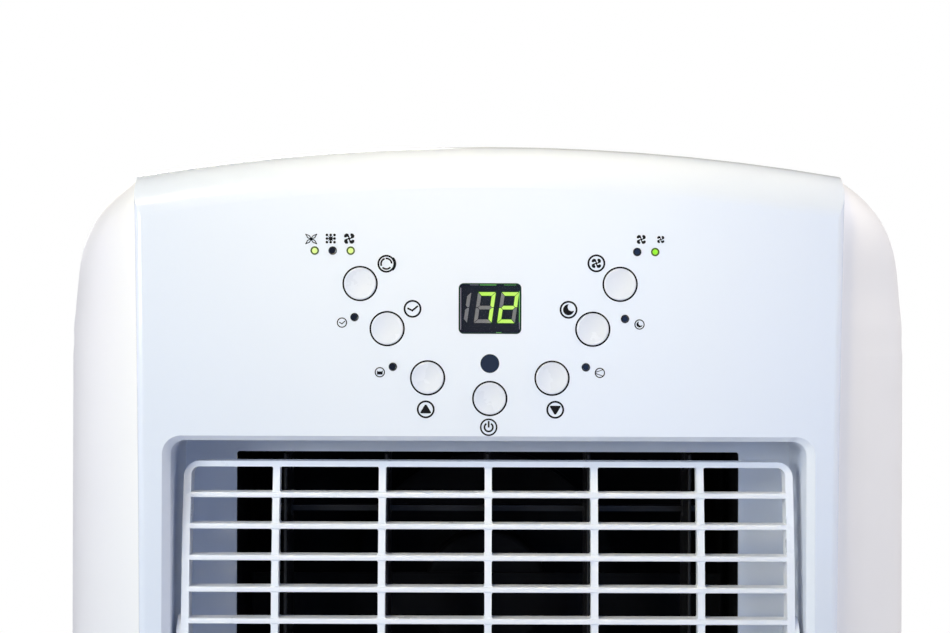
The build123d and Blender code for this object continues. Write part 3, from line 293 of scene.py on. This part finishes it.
# Name: colour, roughness and its spread, scale and depth of the grain, share by which the
# colour varies, and where they differ from 0 and 0.5, coat and specular level.
PLASTICS = {
    "satin_white": (SIDE_WHITE, 0.48, 0.05, 1400, 0.10, 0.010),
    "white_trim": (GRILLE_WHITE, 0.32, 0.05, 1100, 0.04, 0.012),
    "tub_white": (TUB_WHITE, 0.42, 0.05, 1000, 0.06, 0.015),
    "rear_white": ((0.80, 0.805, 0.82), 0.52, 0.05, 1200, 0.12, 0.015),
    "duct_black": ((0.005, 0.005, 0.006), 0.65, 0.10, 700, 0.20, 0.15, 0.0, 0.12),
    "vane_black": ((0.012, 0.012, 0.014), 0.45, 0.08, 900, 0.08, 0.10, 0.0, 0.3),
    "display_black": ((0.020, 0.022, 0.030), 0.40, 0.05, 900, 0.05, 0.10),
    "digit_unlit": ((0.52, 0.52, 0.54), 0.50, 0.05, 900, 0.05, 0.06),
    "lens_dark": ((0.008, 0.012, 0.026), 0.15, 0.04, 600, 0.02, 0.15, 0.15, 0.35),
    "circuit_board": ((0.030, 0.180, 0.070), 0.42, 0.08, 500, 0.10, 0.20),
    "foam_grey": ((0.62, 0.63, 0.64), 0.75, 0.08, 500, 0.35, 0.06),
    "fan_plastic": ((0.045, 0.047, 0.052), 0.42, 0.06, 900, 0.06, 0.08),
    "rubber_black": ((0.022, 0.022, 0.023), 0.72, 0.08, 600, 0.25, 0.12, 0.0, 0.35),
    "caster_grey": ((0.085, 0.087, 0.092), 0.50, 0.06, 900, 0.10, 0.06),
    "compressor_black": ((0.020, 0.020, 0.022), 0.38, 0.08, 300, 0.15, 0.10, 0.2),
    "ink_black": ((0.004, 0.004, 0.006), 0.55, 0.05, 1500, 0.03, 0.10, 0.0, 0.15),
    # felt_black is painted shadow for the gaps round the buttons.
    "felt_black": ((0.004, 0.004, 0.005), 0.90, 0.05, 1200, 0.30, 0.15, 0.0, 0.05),
    # rim_green is painted glow of the lit indicators on their rims.
    "rim_green": ((0.060, 0.105, 0.016), 0.35, 0.05, 900, 0.02, 0.10, 0.1, 0.25),
    "rim_dark": ((0.012, 0.014, 0.020), 0.25, 0.05, 900, 0.02, 0.10, 0.3),
    "receiver_blue": ((0.014, 0.021, 0.042), 0.18, 0.05, 500, 0.03, 0.25, 0.15),
    # edge_grey is painted highlight along the display window's edge.
    "edge_grey": ((0.24, 0.26, 0.28), 0.30, 0.05, 900, 0.03, 0.20),
}

# Name: colour, roughness, scale of the mottling, metallic.
METALS = {
    "motor_steel": ((0.50, 0.51, 0.53), 0.35, 400.0, 1.0),
    "screw_steel": ((0.60, 0.60, 0.62), 0.30, 900.0, 1.0),
    "galvanised": ((0.62, 0.63, 0.65), 0.45, 60.0, 0.8),
    "copper": ((0.80, 0.42, 0.25), 0.30, 400.0, 1.0),
}

# Name: colour, strength, colour where it is brightest.
GLOWS = {
    "digit_lit": ((0.52, 0.95, 0.10), 1.65, (0.68, 1.0, 0.20)),
    # digit_halo and edge_green are painted glow from the lit digits, not lamps.
    "digit_halo": ((0.0, 0.055, 0.002), 1.0, (0.004, 0.095, 0.004)),
    "edge_green": ((0.10, 0.42, 0.08), 0.9, (0.22, 0.75, 0.14)),
}

MATERIALS = {
    "gloss_white": plastic("gloss_white", PANEL_WHITE, 0.22, 0.03, 1500, 0.008, 0.006,
                           coat=0.35, coat_roughness=0.05, wave_depth=0.02),
    "button_white": shaded_cap_plastic("button_white", CAP_WHITE),
    "coil_metal": coil_fins("coil_metal"),
    "filter_mesh": mesh_cloth("filter_mesh"),
    "lens_lit": lit_lens("lens_lit"),
    "smoked_lens": smoked("smoked_lens", (0.010, 0.013, 0.030), 0.24),
}
for table, kind in ((PLASTICS, plastic), (METALS, metal), (GLOWS, glowing)):
    MATERIALS.update({name: kind(name, *values) for name, values in table.items()})

# Nodes whose look differs from that of their slot in the record.
NODE_LOOKS = {
    "vane_link": "vane_black",
    "receiver_window": "receiver_blue",
    "evaporator_fan_housing": "duct_black",
    "evaporator_fan_motor": "duct_black",
    "evaporator_fan_wheel": "duct_black",
    "outlet_tub": "tub_white",
}
NODE_LOOKS.update({f"vane_{number}": "vane_black" for number in range(1, 6)})
BUTTONS = [name for name in NODES if name.startswith("button_")]
NODE_LOOKS.update({name: "button_white" for name in BUTTONS})
SLOT_OF_NODE = {entry["node"]: entry["material_slot"] for entry in frame["record"]["subparts"]}
for name, part in NODES.items():
    part.data.materials.clear()
    part.data.materials.append(MATERIALS[NODE_LOOKS.get(name, SLOT_OF_NODE[name])])

# ---------------------------------------------------------------- mesh helpers


def finish_mesh(name, mesh_builder, material, body):
    """Turn a bmesh into a piece that rides on a body."""
    bmesh.ops.recalc_face_normals(mesh_builder, faces=mesh_builder.faces)
    data = bpy.data.meshes.new(name)
    mesh_builder.to_mesh(data)
    mesh_builder.free()
    piece = bpy.data.objects.new(name, data)
    bpy.context.scene.collection.objects.link(piece)
    data.materials.append(MATERIALS[material])
    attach(piece, body)


def prism(builder, outline, y_front, y_back):
    """A closed plate across the cabinet from an outline of (x, z) points."""
    front = [builder.verts.new((x, y_front, z)) for x, z in outline]
    back = [builder.verts.new((x, y_back, z)) for x, z in outline]
    builder.faces.new(front)
    builder.faces.new(list(reversed(back)))
    count = len(outline)
    for i in range(count):
        j = (i + 1) % count
        builder.faces.new((front[i], back[i], back[j], front[j]))


def lathe(builder, centre, profile, angles, whole):
    """Turn a closed profile of (radius, y) points about a level axis through (x, z)."""
    columns = []
    for angle in angles:
        c, s = math.cos(angle), math.sin(angle)
        columns.append([builder.verts.new((centre[0] + r * c, y, centre[1] + r * s))
                        for r, y in profile])
    pairs = list(zip(columns, columns[1:])) + ([(columns[-1], columns[0])] if whole else [])
    for first, second in pairs:
        for k in range(len(profile)):
            m = (k + 1) % len(profile)
            builder.faces.new((first[k], first[m], second[m], second[k]))
    if not whole:
        builder.faces.new(columns[0])
        builder.faces.new(list(reversed(columns[-1])))


def band(builder, centre, outer, inner, y_front, y_back, start=0.0, sweep=360.0, steps=48):
    """A closed flat ring, or part of one, across the cabinet. Angles are degrees from +X."""
    whole = sweep >= 360.0
    count = steps if whole else max(6, int(steps * sweep / 360))
    angles = [math.radians(start + sweep * i / count)
              for i in range(count if whole else count + 1)]
    profile = ((outer, y_front), (outer, y_back), (inner, y_back), (inner, y_front))
    lathe(builder, centre, profile, angles, whole)


def stroke(builder, points, width, y_front, y_back):
    """A closed line of constant width along (x, z) points, with square joins."""
    for (x0, z0), (x1, z1) in zip(points, points[1:]):
        length = math.hypot(x1 - x0, z1 - z0)
        ux, uz = (x1 - x0) / length * width / 2, (z1 - z0) / length * width / 2
        prism(builder, [
            (x0 - ux - uz, z0 - uz + ux), (x1 + ux - uz, z1 + uz + ux),
            (x1 + ux + uz, z1 + uz - ux), (x0 - ux + uz, z0 - uz - ux),
        ], y_front, y_back)


# ---------------------------------------------------------------- printed marks
# Each mark is a thin film lying on the front panel. Its shapes are given in millimetres
# about the middle of the mark, x to the right and z up.

INK_FRONT = PANEL_Y - 0.12 * MM
INK_BACK = PANEL_Y + 0.10 * MM


def mark(name, centre, rings=(), strokes=(), shapes=()):
    """One printed mark: rings come from ring_of, strokes are (width, points) and shapes are
    filled outlines."""
    builder = bmesh.new()
    cx, cz = centre[0] * MM, centre[1] * MM
    for radius, width, start, sweep, dx in rings:
        band(builder, (cx + dx * MM, cz), (radius + width / 2) * MM,
             (radius - width / 2) * MM, INK_FRONT, INK_BACK, start, sweep)
    for width, points in strokes:
        stroke(builder, [(cx + x * MM, cz + z * MM) for x, z in points], width * MM,
               INK_FRONT, INK_BACK)
    for outline in shapes:
        prism(builder, [(cx + x * MM, cz + z * MM) for x, z in outline], INK_FRONT, INK_BACK)
    finish_mesh(name, builder, "ink_black", "cabinet")


def ring_of(radius, width, start=0.0, sweep=360.0, dx=0.0):
    """One ring of a mark, or part of one, from start over sweep degrees."""
    return (radius, width, start, sweep, dx)


def disc_outline(centre, radius, steps=12):
    """Points of a circle."""
    turn = 2 * math.pi / steps
    return [(centre[0] + radius * math.cos(i * turn), centre[1] + radius * math.sin(i * turn))
            for i in range(steps)]


def arrow_head(up):
    """Filled triangle with slightly cut corners."""
    points = [(-2.75, -1.55), (-2.4, -2.0), (2.4, -2.0), (2.75, -1.55), (0.4, 2.35), (-0.4, 2.35)]
    return [(x, z if up else -z) for x, z in points]


def crescent(radius, bite, offset_angle, shift, steps=22):
    """A moon with its opening towards offset_angle, bitten out by a circle shifted that way."""
    turn = math.radians(offset_angle)
    bx, bz = shift * math.cos(turn), shift * math.sin(turn)
    half = math.acos((radius ** 2 + shift ** 2 - bite ** 2) / (2 * radius * shift))
    inner = math.acos((bite ** 2 + shift ** 2 - radius ** 2) / (2 * bite * shift))
    outline = []
    for i in range(steps + 1):
        angle = turn + half + (2 * math.pi - 2 * half) * i / steps
        outline.append((radius * math.cos(angle), radius * math.sin(angle)))
    for i in range(1, steps):
        angle = turn + math.pi + inner - 2 * inner * i / steps
        outline.append((bx + bite * math.cos(angle), bz + bite * math.sin(angle)))
    return outline


# One hooked fan blade: share of the reach, and degrees ahead of the blade's own angle.
BLADE_SHAPE = ((0.10, -90), (0.42, -44), (0.80, -33), (1.0, -14), (1.02, 8), (0.90, 28),
               (0.62, 30), (0.46, 4), (0.30, -12), (0.10, 60))
BLADE_ANGLES = (45.0, 135.0, 225.0, 315.0)


def pinwheel(reach):
    """Four hooked fan blades round a hub."""
    shapes = [disc_outline((0, 0), reach * 0.2)]
    for blade in BLADE_ANGLES:
        turns = [(share * reach, math.radians(blade + ahead)) for share, ahead in BLADE_SHAPE]
        shapes.append([(radius * math.cos(turn), radius * math.sin(turn))
                       for radius, turn in turns])
    return shapes


def petal_outline(angle, length=3.6, width=1.3):
    """A pointed petal from the middle, as a closed line."""
    turn = math.radians(angle)
    c, s = math.cos(turn), math.sin(turn)
    root, belly = (-0.5, 0.0), length * 0.5
    points = [root, (belly, width / 2), (length, 0.0), (belly, -width / 2), root]
    return [(x * c - z * s, x * s + z * c) for x, z in points]


def star_outline(outer, inner, points):
    """A star, as a filled outline."""
    turn = math.pi / points
    radii = [outer if i % 2 == 0 else inner for i in range(2 * points)]
    return [(r * math.cos(i * turn), r * math.sin(i * turn)) for i, r in enumerate(radii)]


RING = ring_of(4.0, 0.92)
SMALL_RING = ring_of(2.3, 0.52)
PETAL_ANGLES = (41, 139, 221, 319)
DOTS = [(x, z) for x in (-1.9, 0.0, 1.9) for z in (-1.8, 0.0, 1.8) if x or z]
BASIN = [(-1.5, 1.0), (-1.0, 0.4), (1.0, 0.4), (1.5, 1.0), (1.35, -1.15), (-1.35, -1.15)]

mark("mark_mode", (-51.4, 731.25), [RING, ring_of(4.3, 0.7, -50, 95, 0.3)]
     + [ring_of(2.65, 0.85, start, 96) for start in (2, 108, 224)])
mark("mark_timer", (-38.25, 708.75), [RING], [(0.85, [(-2.2, 0.15), (-0.1, -0.85), (2.4, 1.2)])])
mark("mark_up", (-31.5, 658.5), [RING], (), [arrow_head(True)])
mark("mark_power", (0.0, 649.65), [ring_of(3.98, 0.78), ring_of(2.1, 0.85, 122, 296)],
     [(0.85, [(0.0, 0.3), (0.0, 2.7)])])
mark("mark_down", (33.25, 658.5), [RING], (), [arrow_head(False)])
mark("mark_moon", (39.75, 708.5), [RING], (), [crescent(2.75, 2.05, 40, 2.1)])
mark("mark_fan", (53.6, 731.75), [RING], (), pinwheel(2.75))
mark("sign_clock", (-73.5, 701.75), [SMALL_RING],
     [(0.45, [(-1.2, 0.1), (0.0, -0.6), (1.4, 0.7)])])
mark("sign_tank", (-54.5, 677.0), [SMALL_RING], (), [BASIN])
mark("sign_moon", (75.25, 701.25), [SMALL_RING], (), [crescent(1.5, 1.15, 42, 0.85)])
mark("sign_compressor", (55.5, 677.0), [SMALL_RING],
     [(0.36, [(1.5, 1.6), (-2.1, 0.3)]), (0.36, [(1.5, -1.6), (-2.1, -0.3)])])
mark("sign_petals", (-89.0, 743.5), (), [(0.42, petal_outline(angle)) for angle in PETAL_ANGLES])
mark("sign_dots", (-79.25, 743.75), (), (),
     [disc_outline(place, 0.68) for place in DOTS] + [star_outline(1.75, 0.85, 8)])
mark("sign_blades", (-70.0, 743.75), (), (), pinwheel(3.05))
mark("sign_fan_high", (76.0, 743.75), (), (), pinwheel(2.65))
mark("sign_fan_low", (85.75, 743.75), (), (), pinwheel(2.1))

# ---------------------------------------------------------------- indicators and windows

PLACE_STEP = 0.001 * MM                       # vertices this close share a place
# Section of the rim round a lens: millimetres beyond the lens's radius, and behind the panel.
RIM_PROFILE = ((-0.62, 0.1), (-0.50, -0.3), (-0.10, -0.4), (0.16, -0.2), (0.20, 0.1))
RIM_STEPS = 32


def islands(part):
    """The separate shells of a node's mesh, as (low, high) corners."""
    data = part.data
    parent = list(range(len(data.vertices)))

    def find(i):
        while parent[i] != i:
            parent[i] = parent[parent[i]]
            i = parent[i]
        return i

    for edge in data.edges:
        a, b = find(edge.vertices[0]), find(edge.vertices[1])
        parent[a] = b
    seen = {}
    for vertex in data.vertices:                  # faces of one shell share places, not vertices
        place = tuple(round(c / PLACE_STEP) for c in vertex.co)
        parent[find(vertex.index)] = find(seen.setdefault(place, vertex.index))
    groups = {}
    for vertex in data.vertices:
        groups.setdefault(find(vertex.index), []).append(vertex.co)
    boxes = []
    for points in groups.values():
        boxes.append((Vector([min(p[k] for p in points) for k in range(3)]),
                      Vector([max(p[k] for p in points) for k in range(3)])))
    return sorted(boxes, key=lambda box: (box[0].x, box[0].z))


def indicator_rims(name, source, material):
    """Moulded rims round the indicator lenses: a low ring sitting on the panel."""
    builder = bmesh.new()
    angles = [2 * math.pi * i / RIM_STEPS for i in range(RIM_STEPS)]
    for low, high in islands(NODES[source]):
        middle, radius = (low + high) / 2, (high.x - low.x) / 2
        profile = [(radius + beyond * MM, PANEL_Y + behind * MM) for beyond, behind in RIM_PROFILE]
        lathe(builder, (middle.x, middle.z), profile, angles, True)
    finish_mesh(name, builder, material, "cabinet")


# The rims round the lit lenses are dark green with painted glow from the lamps within; those round
# the dark lenses are black.
indicator_rims("rims_lit", "indicators_lit", "rim_green")
indicator_rims("rims_dark", "indicators_dark", "rim_dark")

FILM_FRONT, FILM_BACK = -0.12 * MM, 0.05 * MM     # a film, from the face that it lies on
HALO_SPARE = 0.45 * MM
DIGIT_LEAN = math.tan(math.radians(8))


def halo():
    """A dim painted green glow on the face of the display module round each lit bar."""
    builder = bmesh.new()
    for low, high in islands(NODES["display_lit"]):
        width, height = high.x - low.x, high.z - low.z
        lean = DIGIT_LEAN * height / 2 if height > width else 0.0
        middle, half = (low.x + high.x) / 2, width / 2 - lean + HALO_SPARE
        bottom, top = low.z - HALO_SPARE, high.z + HALO_SPARE
        corners = ((middle - lean - half, bottom), (middle - lean + half, bottom),
                   (middle + lean + half, top), (middle + lean - half, top))
        prism(builder, corners, high.y + FILM_FRONT, high.y + FILM_BACK)
    finish_mesh("digit_halo", builder, "digit_halo", "cabinet")


def window_edges():
    """The moulded edge of the display window, with painted grey highlights along parts of it and a
    painted green glow beside the lit digits.
    """
    low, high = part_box("display_window")
    left, right = low.x + 0.85 * MM, high.x - 0.80 * MM
    top, bottom = high.z - 0.70 * MM, low.z + 0.50 * MM

    def level(start, end, z):
        """A level line between two shares of the width."""
        return [(left + share * (right - left), z) for share in (start, end)]

    def upright(x, start, end):
        """An upright line between two heights in millimetres above the bottom, or below the
        top where negative."""
        return [(x, (bottom if rise > 0 else top) + rise * MM) for rise in (start, end)]

    # Painted highlights: grey strokes where light catches the edge; then painted green glow where
    # the lit digits light it.
    highlight_strokes = ((0.40, upright(left, 1.6, -1.6)), (0.22, level(0.16, 0.30, top)),
             (0.30, upright(right, 1.8, 5.2)))
    lit = ((0.36, upright(right, 5.4, -3.2)), (0.34, level(0.33, 0.60, top)),
           (0.20, level(0.74, 0.94, top)), (0.30, level(0.61, 0.69, bottom)))
    for name, material, lines in (("window_edge", "edge_grey", highlight_strokes),
                                  ("window_edge_lit", "edge_green", lit)):
        builder = bmesh.new()
        for width, points in lines:
            stroke(builder, points, width * MM, low.y + FILM_FRONT, low.y + FILM_BACK)
        finish_mesh(name, builder, material, "cabinet")


halo()
window_edges()

CAP_RADIUS = 8.0 * MM
# Rings of painted shadow in and over the gap round a button, in millimetres: from and to beyond
# the cap's radius, then from and to behind the panel's face.
GAP_SHADOW_RINGS = ((0.05, 0.58, 0.10, 1.6), (0.14, 0.84, -0.06, 0.3))


def button_gap_shadows():
    """Painted shadow in the gap round each button: a black ring in the gap and its thin black
    lip, which the cap slides past."""
    builder = bmesh.new()
    for name in BUTTONS:
        low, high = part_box(name)
        middle = (low + high) / 2
        for inner, outer, front, back in GAP_SHADOW_RINGS:
            band(builder, (middle.x, middle.z), CAP_RADIUS + outer * MM, CAP_RADIUS + inner * MM,
                 PANEL_Y + front * MM, PANEL_Y + back * MM, steps=64)
    finish_mesh("button_gap_shadows", builder, "felt_black", "cabinet")


button_gap_shadows()

# ---------------------------------------------------------------- floor, light and camera

FLOOR_RADIUS, FLOOR_STEPS, FLOOR_GAP = 3.0, 96, 0.5 * MM
FLOOR_FADE = [(0.28, (1.0, 1.0, 1.0)), (0.96, (0.0, 0.0, 0.0))]       # by share of the radius


def pale_floor():
    """A round floor just under the wheels, which fades out towards its edge."""
    material, tree, shader = new_material("pale_floor")
    drive(tree, shader, "Base Color", object_noise(tree, 3.0, 4.0),
          [(0.3, (0.86, 0.86, 0.87)), (0.7, (0.90, 0.90, 0.91))])
    shader.inputs["Roughness"].default_value = 0.7
    away = node(tree, "ShaderNodeVectorMath", operation="LENGTH")
    tree.links.new(coordinates(tree, "Object"), away.inputs[0])
    share = node(tree, "ShaderNodeMath", operation="MULTIPLY")
    tree.links.new(away.outputs["Value"], share.inputs[0])
    share.inputs[1].default_value = 1 / FLOOR_RADIUS
    fade = ramp(tree, share.outputs["Value"], FLOOR_FADE)
    fade.color_ramp.interpolation = "EASE"
    tree.links.new(fade.outputs["Color"], shader.inputs["Alpha"])
    builder = bmesh.new()
    level = CAD_BOX[0][2] - FLOOR_GAP
    builder.faces.new([builder.verts.new((x, y, level))
                       for x, y in disc_outline((0.0, 0.0), FLOOR_RADIUS, FLOOR_STEPS)])
    data = bpy.data.meshes.new("floor")
    builder.to_mesh(data)
    builder.free()
    data.materials.append(material)
    floor = bpy.data.objects.new("floor", data)
    bpy.context.scene.collection.objects.link(floor)


def studio_world():
    """White behind everything that the camera sees, and a faint light from all sides."""
    world = bpy.data.worlds.new("studio")
    bpy.context.scene.world = world
    world.use_nodes = True
    tree = world.node_tree
    tree.nodes.clear()
    backdrop = node(tree, "ShaderNodeBackground", Color=(1.0, 1.0, 1.0, 1.0), Strength=1.0)
    ambient = node(tree, "ShaderNodeBackground", Color=(0.95, 0.96, 1.0, 1.0), Strength=0.12)
    rays = tree.nodes.new("ShaderNodeLightPath")
    choose = tree.nodes.new("ShaderNodeMixShader")
    output = tree.nodes.new("ShaderNodeOutputWorld")
    tree.links.new(rays.outputs["Is Camera Ray"], choose.inputs["Fac"])
    tree.links.new(ambient.outputs["Background"], choose.inputs[1])
    tree.links.new(backdrop.outputs["Background"], choose.inputs[2])
    tree.links.new(choose.outputs["Shader"], output.inputs["Surface"])


def key_light(name, place, target, size, power, colour):
    """One soft area light aimed at a point."""
    data = bpy.data.lights.new(name, "AREA")
    data.energy = power
    data.color = colour
    data.size = size
    lamp = bpy.data.objects.new(name, data)
    lamp.location = place
    aim = Vector(target) - Vector(place)
    lamp.rotation_euler = aim.to_track_quat("-Z", "Y").to_euler()
    bpy.context.scene.collection.objects.link(lamp)
    return lamp


# Name, place, target, size, watts and colour.
LIGHTS = (
    ("low", (-1.0, -1.3, 0.95), (0.0, 0.0, 0.55), 0.6, 14.6, (0.965, 1.0, 0.96)),
    ("front", (0.5, -2.0, 0.8), (0.0, 0.0, 0.5), 0.9, 3.9, (0.18, 0.40, 1.0)),
    ("left", (-1.8, 0.35, 0.9), (0.0, 0.0, 0.65), 0.8, 3.4, (0.50, 0.40, 1.0)),
    ("right", (1.5, -0.2, 1.5), (0.0, 0.0, 0.6), 0.9, 22.5, (1.0, 0.95, 0.92)),
    ("rear", (-0.7, 1.9, 1.4), (0.0, 0.15, 0.45), 1.2, 24.0, (1.0, 0.98, 0.95)),
)

pale_floor()
studio_world()
beam = key_light("beam", (-0.30, -1.0, 1.45), (0.0, -0.19, 0.86), 0.25, 0.38, (1.0, 0.84, 0.52))
beam.data.spread = math.radians(34)
for light in LIGHTS:
    key_light(*light)

# The photo's camera: level, one metre in front of the panel, near the height of the buttons.
CAMERA_LENS = 75.8
CAMERA_X, CAMERA_AWAY, CAMERA_Z = -0.007, 1.0, 0.705
CAMERA_ROLL = -0.003

camera_data = bpy.data.cameras.new("camera")
camera_data.lens = CAMERA_LENS
camera_data.sensor_width = 36.0
camera_data.clip_start = 0.05
camera = bpy.data.objects.new("camera", camera_data)
camera.location = (CAMERA_X, PANEL_Y - CAMERA_AWAY, CAMERA_Z)
camera.rotation_euler = (math.pi / 2, CAMERA_ROLL, 0.0)
bpy.context.scene.collection.objects.link(camera)
bpy.context.scene.camera = camera
bpy.context.scene.view_settings.view_transform = "Standard"
bpy.context.scene.view_settings.look = "None"
